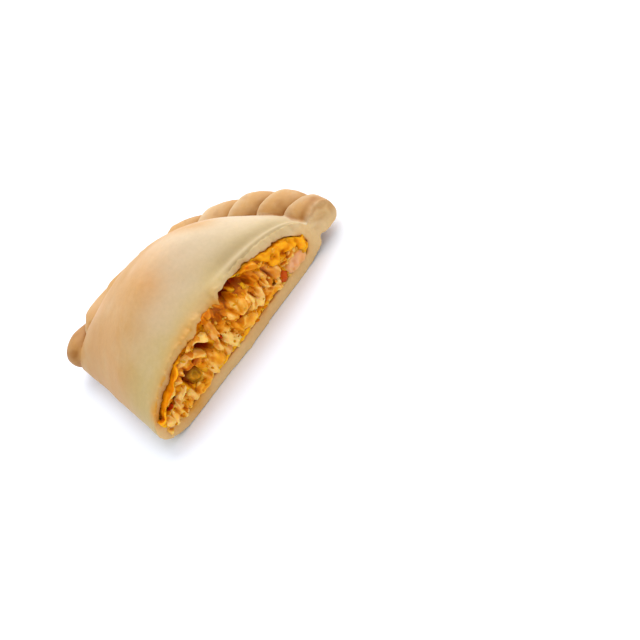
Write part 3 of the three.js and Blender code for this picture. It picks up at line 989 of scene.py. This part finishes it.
class EMPANADA_OT_cheese(bpy.types.Operator):
    """Models the filling's core, a mass of melted cheese and sauce with hollows in the cut"""

    bl_idname = "empanada.cheese"
    bl_label = "Cheese"

    def execute(self, context):
        settings = context.scene.empanada_filling
        core = copy_of(FILLING, "cheese")
        points = points_of(core)
        x, y, z = points.T
        between = smooth(x, -1.8, 1.2) * (1 - smooth(x, 56.8, 59.0))
        points[:, 1] += smooth(-y, -9, -5) * between * np.maximum(0, 0.8 - y) * 0.8
        move_to(core, points)
        lumps = [
            lump_at(x, 1.7 - out, z, (0.9 * wide, 2.0, 0.9 * tall), 3, lean)
            for x, z, wide, tall, lean, out in CHEESE_PATCHES
        ]
        piece = joined([core, *lumps], "cheese")
        apply(piece, "REMESH", mode="VOXEL", voxel_size=settings.cheese_grain)
        smoothed(piece, 3)
        points = points_of(piece)
        x, y, z = points.T
        front = smooth(-y, -7, -4) * (0.3 + 0.7 * smooth(x, -1.5, 1.0) * (1 - smooth(x, 57.5, 59.2)))
        strands = np.stack([points[:, 0], points[:, 1], 0.4 * points[:, 2]], axis=1)
        uneven = 0.7 * swells(points, 3.5, 5) + 0.6 * swells(strands, 1.7, 6)
        uneven = uneven - 0.3 * np.abs(swells(strands, 2.6, 8))
        # It stands back under the pickle and the ham.
        under = 1.2 * within(x, z, PICKLE, 6) + 0.5 * within(x, z, HAM, 6)
        points[:, 1] += front * (uneven + under + hollow_at(x, z))
        move_to(piece, points)
        points = points_of(piece)
        aside = smooth(-points[:, 1], -6, -3) * (1 - np.abs(normals_of(piece)[:, 1]))
        height = smooth(-points[:, 1], -7, -4) * 0.3 * swells(points, 1.0, 7) + 0.12 * aside
        points = points + normals_of(piece) * height[:, None]
        # The cheese wells up to the lip at the fold.
        roof = np.interp(points[:, 0], ROOF_X, ROOF_Z)
        welling = smooth(points[:, 2] - roof, -1.6, -0.4) * (1 - smooth(x, 10, 15))
        welling = welling * smooth(-points[:, 1], -4, -1)
        points[:, 1] -= 1.1 * welling
        near = (points[:, 1] < 4)[:, None]
        move_to(piece, np.where(near, kept_inside(points), points))
        streak = swells(np.stack([x - 0.4 * z, y, 0.3 * z], axis=1), 1.3, 44)
        toned(piece, 0.42 + 0.25 * streak, 0.9)
        stops = [(0.0, settings.cheese_core), (0.5, settings.cheese), (1.0, settings.cheese_pale)]
        finish = juicy("melted_cheddar", stops, 0.3, settings, fibre=(1, 1, 0.4), speckle=1.6)
        settle(piece, finish)
        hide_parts("filling")
        return {"FINISHED"}


# The large chunks of meat: place along x and z, half width and half height, and lean in degrees, then how
# far they stand out in millimetres, their tint and how rosy they are.
CHUNKS = [
    (-0.6, 6.8, 1.4, 1.9, 20, 1.2, 0.7, 0.2),
    (-0.4, 9.6, 1.3, 1.2, 0, 1.0, 0.2, 0.0),
    (1.6, 6.0, 0.8, 2.7, -18, 1.5, 0.95, 0.0),
    (3.7, 6.1, 0.9, 1.8, 8, 1.2, 0.6, 0.0),
    (4.9, 7.4, 0.9, 1.4, -5, 1.3, 0.75, 0.4),
    (7.1, 8.8, 2.0, 0.8, 18, 1.4, 0.85, 0.3),
    (6.6, 5.4, 1.2, 1.9, 0, 1.1, 0.5, 0.0),
    (8.6, 6.2, 1.0, 1.7, 0, 1.3, 0.6, 0.4),
    (9.0, 4.7, 0.9, 0.9, 0, 1.2, 0.7, 0.3),
    (5.6, 11.1, 1.7, 0.9, 20, 1.2, 0.75, 0.0),
    (9.1, 11.6, 1.0, 1.4, 30, 1.2, 0.75, 0.0),
    (10.9, 12.6, 0.8, 1.1, 10, 1.2, 0.85, 0.1),
    (13.9, 14.1, 2.3, 1.0, -5, 1.0, 0.75, 0.6),
    (14.4, 12.8, 0.9, 0.6, 0, 1.2, 0.95, 0.0),
    (12.9, 4.6, 2.8, 1.3, 0, 1.1, 0.55, 0.0),
    (17.2, 12.2, 0.9, 2.6, 48, 1.6, 1.0, 0.0),
    (16.4, 9.0, 1.0, 1.8, 30, 1.1, 0.4, 0.0),
    (17.8, 6.8, 1.0, 2.6, -3, 1.5, 0.85, 0.1),
    (18.3, 15.3, 2.1, 0.9, -8, 1.2, 0.75, 0.3),
    (20.4, 7.0, 1.7, 2.7, 0, 1.4, 0.65, 0.0),
    (21.1, 13.8, 1.5, 1.8, 8, 1.5, 1.0, 0.0),
    (23.0, 8.3, 1.0, 1.3, 0, 1.5, 0.9, 0.3),
    (23.7, 5.6, 1.4, 1.4, 0, 1.3, 0.7, 0.9),
    (24.5, 12.9, 1.2, 3.2, -8, 1.4, 0.75, 0.5),
    (25.0, 17.2, 1.2, 1.3, 0, 0.7, 0.35, 0.0),
    (26.3, 6.7, 1.2, 3.3, 12, 2.0, 1.2, 0.0),
    (28.2, 5.9, 0.8, 2.0, 30, 1.8, 1.0, 0.3),
    (27.5, 11.0, 1.7, 1.6, 0, 1.1, 0.65, 0.0),
    (28.5, 13.4, 1.7, 2.0, 6, 0.9, 0.4, 0.0),
    (29.9, 7.8, 1.3, 2.3, 5, 1.3, 0.6, 0.0),
    (31.6, 11.6, 1.9, 2.7, 25, 1.6, 0.7, 0.0),
    (33.5, 6.4, 2.7, 2.0, 0, 1.4, 0.7, 0.0),
    (34.4, 12.1, 2.8, 2.8, -8, 2.3, 0.85, 0.0),
    (36.7, 7.7, 1.4, 1.3, 10, 1.6, 0.9, 0.0),
    (37.3, 11.0, 1.3, 3.0, 14, 1.9, 0.95, 0.0),
    (38.9, 6.8, 1.2, 1.3, 0, 1.8, 1.1, 0.0),
    (40.3, 9.2, 1.2, 2.4, 0, 1.5, 0.85, 0.3),
    (41.4, 12.9, 1.6, 2.9, 8, 1.3, 0.4, 0.0),
    (42.4, 5.2, 2.6, 1.1, 0, 1.1, 0.4, 0.0),
    (43.4, 9.4, 1.1, 2.4, 6, 1.6, 0.85, 0.2),
    (44.5, 11.7, 0.9, 2.0, 12, 1.4, 0.7, 0.5),
    (44.8, 4.9, 0.9, 1.5, 35, 1.5, 0.85, 0.1),
    (46.3, 6.0, 0.9, 1.1, 0, 1.5, 0.9, 0.4),
    (47.1, 9.4, 1.5, 3.3, 12, 1.2, 0.45, 0.5),
    (43.7, 15.4, 1.4, 3.6, 48, 1.4, 0.75, 0.0),
]

# The fibrous chunk and single bits: place along x and z, half width and half height, and lean in degrees.
PICKLE = (13.0, 8.9, 2.6, 3.8, 8)
HAM = (53.2, 4.8, 4.3, 2.6, -3)
PEPPERS = [
    (47.9, 5.3, 1.4, 1.3, -30),
    (2.6, 8.7, 0.8, 0.5, 10),
    (32.6, 8.4, 1.0, 0.35, -10),
    (25.1, 9.6, 0.45, 0.8, 0),
]
FIBROUS = (42.2, 11.2, 3.0, 4.4, 5)


def chunk_shape(name, detail, seed, flats, reach):
    """One torn chunk about 1 unit in radius: a lumpy ball, cut flat on many sides as it broke."""
    draw = random.Random(seed)
    bpy.ops.mesh.primitive_ico_sphere_add(subdivisions=detail, radius=1)
    piece = bpy.context.object
    piece.name = name
    shift = Vector((seed * 3.7, seed * 1.9, seed * 7.3))
    sides = []
    for _ in range(flats):
        side = Vector((draw.uniform(-1, 1), draw.uniform(-1, 1), draw.uniform(-1, 1))).normalized()
        sides.append((side, draw.uniform(*reach)))
    for vertex in piece.data.vertices:
        way = vertex.co.normalized()
        spot = way * (1 + 0.25 * noise.noise(way * 1.3 + shift) + 0.12 * noise.noise(way * 3.4 + shift))
        for side, limit in sides:
            past = spot.dot(side) - limit
            if past > 0:
                spot -= side * past * 0.92
        vertex.co = spot
    return piece


def chunk_copy(shape, x, y, z, size, turn):
    """A copy of a chunk with its own mesh, sized, turned and put in its place at the cut."""
    piece = shape.copy()
    piece.data = shape.data.copy()
    bpy.context.scene.collection.objects.link(piece)
    matrix = Matrix.Translation(in_frame(x, y, z)) @ turn.to_matrix().to_4x4()
    piece.data.transform(matrix @ Matrix.Diagonal((*(Vector(size) * MM), 1)))
    return piece


def any_turn(draw):
    """A random turn about all three axes."""
    return Euler([draw.uniform(0, 6.3) for _ in range(3)])


def on_face(x, z, deepest):
    """Whether a place lies on the cut face of the filling, where no hollow is deeper than this."""
    if not FILLING_ENDS[0] + 0.4 < x < FILLING_ENDS[1] - 0.6:
        return False
    if not FLOOR_WALL + 0.2 < z < np.interp(x, ROOF_X, ROOF_Z) - 0.5:
        return False
    return hollow_at(np.array([x]), np.array([z]))[0] <= deepest


class EMPANADA_OT_meat(bpy.types.Operator):
    """Models the meat: large chunks in their places and smaller ones between them, grown into one mass"""

    bl_idname = "empanada.meat"
    bl_label = "Meat"

    def execute(self, context):
        settings = context.scene.empanada_filling
        draw = random.Random(settings.seed)
        shapes = [chunk_shape(f"chunk{i}", 3, 20 + i, 8, (0.55, 0.9)) for i in range(12)]
        copies = []
        placed = []
        for i, (x, z, wide, tall, lean, out, tint, rosy) in enumerate(CHUNKS):
            size = (1.3 * wide, 0.7 * min(wide, tall) + 0.7, 1.3 * tall)
            copies.append(chunk_copy(shapes[i % len(shapes)], x, 1.5 - out, z, size, tilt(lean)))
            placed.append((x, z, wide, tall, lean, tint, rosy))
        for column in np.arange(-2, 59, 2.4):
            for row in np.arange(4, 20, 2.1):
                x = column + draw.uniform(-0.9, 0.9)
                z = row + draw.uniform(-0.8, 0.8)
                radius = draw.uniform(0.9, 2.3)
                turn = any_turn(draw)
                stretch = draw.uniform(1.0, 1.5)
                tint = draw.uniform(0.15, 0.7)
                back = draw.uniform(0.5, 1.4)
                lean = draw.uniform(-50, 50)
                if not on_face(x, z, 1.2):
                    continue
                if any(in_patch(x, z, patch) < 0.95 for patch in CHEESE_PATCHES):
                    continue
                if any(in_patch(x, z, chunk) < 0.8 for chunk in CHUNKS):
                    continue
                if in_patch(x, z, PICKLE) < 0.9 or in_patch(x, z, HAM) < 0.9:
                    continue
                size = (radius, radius, radius * stretch)
                copies.append(chunk_copy(draw.choice(shapes), x, back + 0.4, z, size, turn))
                placed.append((x, z, 0.8 * radius, 0.8 * radius, lean, tint, 0.1))
        piece = joined(copies, "meat", shapes)
        apply(piece, "REMESH", mode="VOXEL", voxel_size=settings.meat_grain)
        smoothed(piece, 2)
        roughened(piece, 0.35, 0.08, 30)
        # Each vertex has the tint of the chunk that it belongs to, and is torn along that chunk's fibres.
        points = points_of(piece)
        x, y, z = points.T
        nearest = np.full(len(points), np.inf)
        across, along, tints, rosiness = np.zeros((4, len(points)))
        for *patch, tint, rosy in placed:
            share = in_patch(x, z, patch)
            nearer = share < nearest
            nearest = np.where(nearer, share, nearest)
            # The fibres run along the longer side of a chunk.
            sides = from_middle(x, z, patch)
            tall = patch[3] >= patch[2]
            across = np.where(nearer, sides[0] if tall else sides[1], across)
            along = np.where(nearer, sides[1] if tall else sides[0], along)
            tints = np.where(nearer, tint, tints)
            rosiness = np.where(nearer, rosy, rosiness)
        streak = swells(np.stack([across + 7 * tints, 0.5 * y, 0.25 * along], axis=1), 0.8, 33)
        torn = 0.4 + 0.5 * within(x, z, FIBROUS)
        points[:, 1] += torn * streak + 0.8 * hollow_at(x, z)
        move_to(piece, points)
        toned(piece, 0.14 + 0.6 * tints - 0.22 * streak, 0.4)
        store(piece, "rosy", np.clip(0.65 * rosiness, 0, 1))
        store(piece, "cover", np.clip(patched(x, z, COATS), 0, 0.95))
        stops = [
            (0.05, settings.meat_dark),
            (0.3, settings.meat_brown),
            (0.6, settings.meat),
            (0.95, settings.meat_pale),
        ]
        fibre = (1, 1, 0.45)
        finish = juicy("cooked_minced_meat", stops, 0.4, settings, fibre, speckle=1.4, coat=0.5)
        settle(piece, finish)
        return {"FINISHED"}


class EMPANADA_OT_bits(bpy.types.Operator):
    """Models the pickle, the ham and the red pepper that show at the cut"""

    bl_idname = "empanada.bits"
    bl_label = "Pickle, ham and pepper"

    def execute(self, context):
        settings = context.scene.empanada_filling
        x, z, wide, tall, lean = PICKLE
        pickle = lump_at(x, 1.8, z, (wide, 2.1, tall), 5, lean)
        pickle.name = "pickle"
        roughened(pickle, 0.5, 0.1, 50)
        points = points_of(pickle)
        # Rings of the slice, dark along its rind above and to the left.
        share = in_patch(points[:, 0], points[:, 2], PICKLE)
        ring = np.sin(share * 14) * smooth(share, 0.1, 0.3)
        points[:, 1] += 0.06 * ring
        move_to(pickle, points)
        rind = smooth(share, 0.5, 0.85) * smooth(points[:, 2] - points[:, 0] + 8, 1, 4)
        toned(pickle, 0.3 - 0.5 * rind - 0.08 * ring + 0.3 * smooth(7 - points[:, 2], 0, 2.5), 0.6)
        stops = [(0.0, linear("#743200")), (0.5, settings.pickle), (0.9, linear("#d8901c"))]
        settle(pickle, juicy("pickled_cucumber", stops, 0.3, settings))
        x, z, wide, tall, lean = HAM
        ham = lump_at(x, 1.0, z, (wide, 1.5, tall), 5, lean)
        ham.name = "ham"
        roughened(ham, 0.4, 0.1, 60)
        toned(ham, 0.5, 0.8)
        x, _, z = points_of(ham).T
        store(ham, "cover", 0.85 * smooth(in_patch(x, z, HAM), 0.6, 0.95) * smooth(z, 4.5, 6.0))
        stops = [(0.1, linear("#c8743a")), (0.5, settings.ham), (0.9, linear("#e4aa7c"))]
        settle(ham, juicy("cooked_ham", stops, 0.35, settings, coat=0.3))
        shapes = [chunk_shape(f"bit{i}", 3, 70 + i, 8, (0.5, 0.8)) for i in range(3)]
        copies = []
        for i, (x, z, wide, tall, lean) in enumerate(PEPPERS):
            depth = -0.2 if x > 40 else 0.2
            size = (1.3 * wide, 0.9, 1.3 * tall)
            copies.append(chunk_copy(shapes[i % len(shapes)], x, depth, z, size, tilt(lean)))
        pepper = joined(copies, "pepper", shapes)
        # The piece beside the ham is the brightest. The others lie in the folds and are painted darker
        # there, as shade.
        toned(pepper, 0.1 + 0.3 * smooth(points_of(pepper)[:, 0], 40, 45), 0.5)
        stops = [(0.1, linear("#8a2400")), (0.5, settings.pepper), (1.0, linear("#bc4c0c"))]
        settle(pepper, juicy("cooked_red_pepper", stops, 0.25, settings))
        return {"FINISHED"}


class EMPANADA_OT_crumbs(bpy.types.Operator):
    """Scatters fine crumbs of meat and cheese over the filling at the cut"""

    bl_idname = "empanada.crumbs"
    bl_label = "Crumbs"

    def execute(self, context):
        settings = context.scene.empanada_filling
        draw = random.Random(settings.seed + 1)
        bpy.context.view_layer.update()
        surfaces = [surface_of(bpy.data.objects[name]) for name in ("meat", "cheese")]
        shapes = [chunk_shape(f"crumb{i}", 1, 90 + i, 5, (0.5, 0.8)) for i in range(6)]
        copies = []
        while len(copies) < settings.crumbs:
            x = draw.uniform(-2, 59)
            z = draw.uniform(FLOOR_WALL + 0.2, 19)
            radius = draw.uniform(0.25, 0.6)
            turn = any_turn(draw)
            stretch = draw.uniform(1.0, 2.2)
            tint = draw.uniform(0.1, 0.85)
            if not on_face(x, z, 1.5):
                continue
            start = in_frame(x, -8, z)
            hits = [surface.ray_cast(start, Vector((0, 1, 0)))[0] for surface in surfaces]
            ys = [spot.y / MM - ORIGIN[1] for spot in hits if spot is not None]
            if not ys or min(ys) > 2.5:
                continue
            size = (radius, radius, radius * stretch)
            copies.append(chunk_copy(draw.choice(shapes), x, min(ys) + 0.2 * radius, z, size, turn))
            store(copies[-1], "tint", np.full(len(copies[-1].data.vertices), tint))
        piece = joined(copies, "crumbs", shapes)
        tints = np.empty(len(piece.data.vertices))
        piece.data.attributes["tint"].data.foreach_get("value", tints)
        store(piece, "tone", tints)
        store(piece, "deep", np.zeros(len(tints)))
        stops = [
            (0.0, settings.meat_dark),
            (0.35, settings.cheese),
            (0.65, settings.meat),
            (1.0, settings.meat_pale),
        ]
        settle(piece, juicy("meat_and_cheese_crumbs", stops, 0.35, settings))
        return {"FINISHED"}


# The studio.


class StageSettings(bpy.types.PropertyGroup):
    """The camera's lens, the floor and the light"""

    lens: FloatProperty(
        name="Lens", description="Focal length on a 36 mm sensor", default=151.16, unit="CAMERA"
    )
    floor: colour_choice("Floor", "Pale studio floor", "#f5f8fe")
    key: FloatProperty(
        name="Key light", description="Power of the large soft light", default=4.2, unit="POWER"
    )
    sky: FloatProperty(name="Sky", description="Strength of the light from all round", default=1.02)
    sky_colour: FloatVectorProperty(
        name="Sky colour",
        description="Light from all round",
        subtype="COLOR",
        size=4,
        default=(0.96, 0.985, 1.03, 1),
    )


# The large soft light: its place and how wide it is, and the size of the floor, in metres.
KEY_PLACE = Vector((0.38, 0.32, 0.5))
KEY_SIZE = 0.8
FLOOR_SIZE = 6

# The camera in the part's frame: its eye in millimetres, and the ways right, up and back.
EYE = Vector((-83.15, -605.26, 395.27))
RIGHT = Vector((0.595, -0.52736, -0.60652))
UP = Vector((0.79236, 0.25846, 0.55259))
BACK = Vector((-0.13466, -0.80937, 0.57165))


def studio_floor(settings):
    """A matt painted studio floor."""
    material, tree = new_material("matt_white_paint")
    shader = add(
        tree,
        "ShaderNodeBsdfPrincipled",
        {"Base Color": list(settings.floor), "Roughness": 0.9, "Specular IOR Level": 0.1},
    )
    add(tree, "ShaderNodeOutputMaterial", {"Surface": shader.outputs["BSDF"]})
    return material


class EMPANADA_OT_stage(bpy.types.Operator):
    """Sets up the camera, the floor and the soft light"""

    bl_idname = "empanada.stage"
    bl_label = "Stage"

    def execute(self, context):
        settings = context.scene.empanada_stage
        camera = bpy.data.objects.new("camera", bpy.data.cameras.new("camera"))
        context.scene.collection.objects.link(camera)
        camera.data.lens = settings.lens
        camera.data.sensor_width = 36
        camera.data.clip_start = 0.01
        turn = Matrix((RIGHT, UP, BACK)).transposed().to_4x4()
        camera.matrix_world = Matrix.Translation(EYE * MM) @ turn
        context.scene.camera = camera
        bpy.ops.object.select_all(action="DESELECT")
        bpy.ops.mesh.primitive_plane_add(size=FLOOR_SIZE, location=(0, 0, 0))
        floor = context.object
        floor.name = "floor"
        floor.data.materials.append(studio_floor(settings))
        light = bpy.data.lights.new("key", "AREA")
        light.shape = "DISK"
        light.size = KEY_SIZE
        light.energy = settings.key
        key = bpy.data.objects.new("key", light)
        context.scene.collection.objects.link(key)
        key.location = KEY_PLACE
        key.rotation_mode = "QUATERNION"
        key.rotation_quaternion = key.location.to_track_quat("Z", "Y")
        world = bpy.data.worlds.new("soft_box")
        world.use_nodes = True
        background = world.node_tree.nodes["Background"]
        background.inputs["Color"].default_value = list(settings.sky_colour)
        background.inputs["Strength"].default_value = settings.sky
        context.scene.world = world
        context.scene.view_settings.view_transform = "Standard"
        return {"FINISHED"}


class EMPANADA_PT_panel(bpy.types.Panel):
    """Lists the steps that build the empanada and their settings"""

    bl_idname = "EMPANADA_PT_panel"
    bl_label = "Empanada"
    bl_space_type = "VIEW_3D"
    bl_region_type = "UI"
    bl_category = "Empanada"

    def draw(self, context):
        for step in STEPS:
            self.layout.operator(step.bl_idname)
        for name, kind in SETTINGS.items():
            box = self.layout.box()
            for field in kind.__annotations__:
                box.prop(getattr(context.scene, name), field)


STEPS = [
    EMPANADA_OT_stage,
    EMPANADA_OT_cheese,
    EMPANADA_OT_meat,
    EMPANADA_OT_bits,
    EMPANADA_OT_crumbs,
    EMPANADA_OT_dough,
]
SETTINGS = {
    "empanada_dough": DoughSettings,
    "empanada_filling": FillingSettings,
    "empanada_stage": StageSettings,
}


def register():
    """Registers the settings, the operators and the panel."""
    for kind in SETTINGS.values():
        bpy.utils.register_class(kind)
    for step in STEPS:
        bpy.utils.register_class(step)
    bpy.utils.register_class(EMPANADA_PT_panel)
    for name, kind in SETTINGS.items():
        setattr(bpy.types.Scene, name, PointerProperty(type=kind))


def unregister():
    """Takes them out again."""
    for name in SETTINGS:
        delattr(bpy.types.Scene, name)
    bpy.utils.unregister_class(EMPANADA_PT_panel)
    for kind in STEPS[::-1] + list(SETTINGS.values()):
        bpy.utils.unregister_class(kind)


def main():
    """Builds the scene."""
    register()
    bpy.ops.empanada.stage()
    bpy.ops.empanada.cheese()
    bpy.ops.empanada.meat()
    bpy.ops.empanada.bits()
    bpy.ops.empanada.crumbs()
    bpy.ops.empanada.dough()


if __name__ == "__main__":
    main()
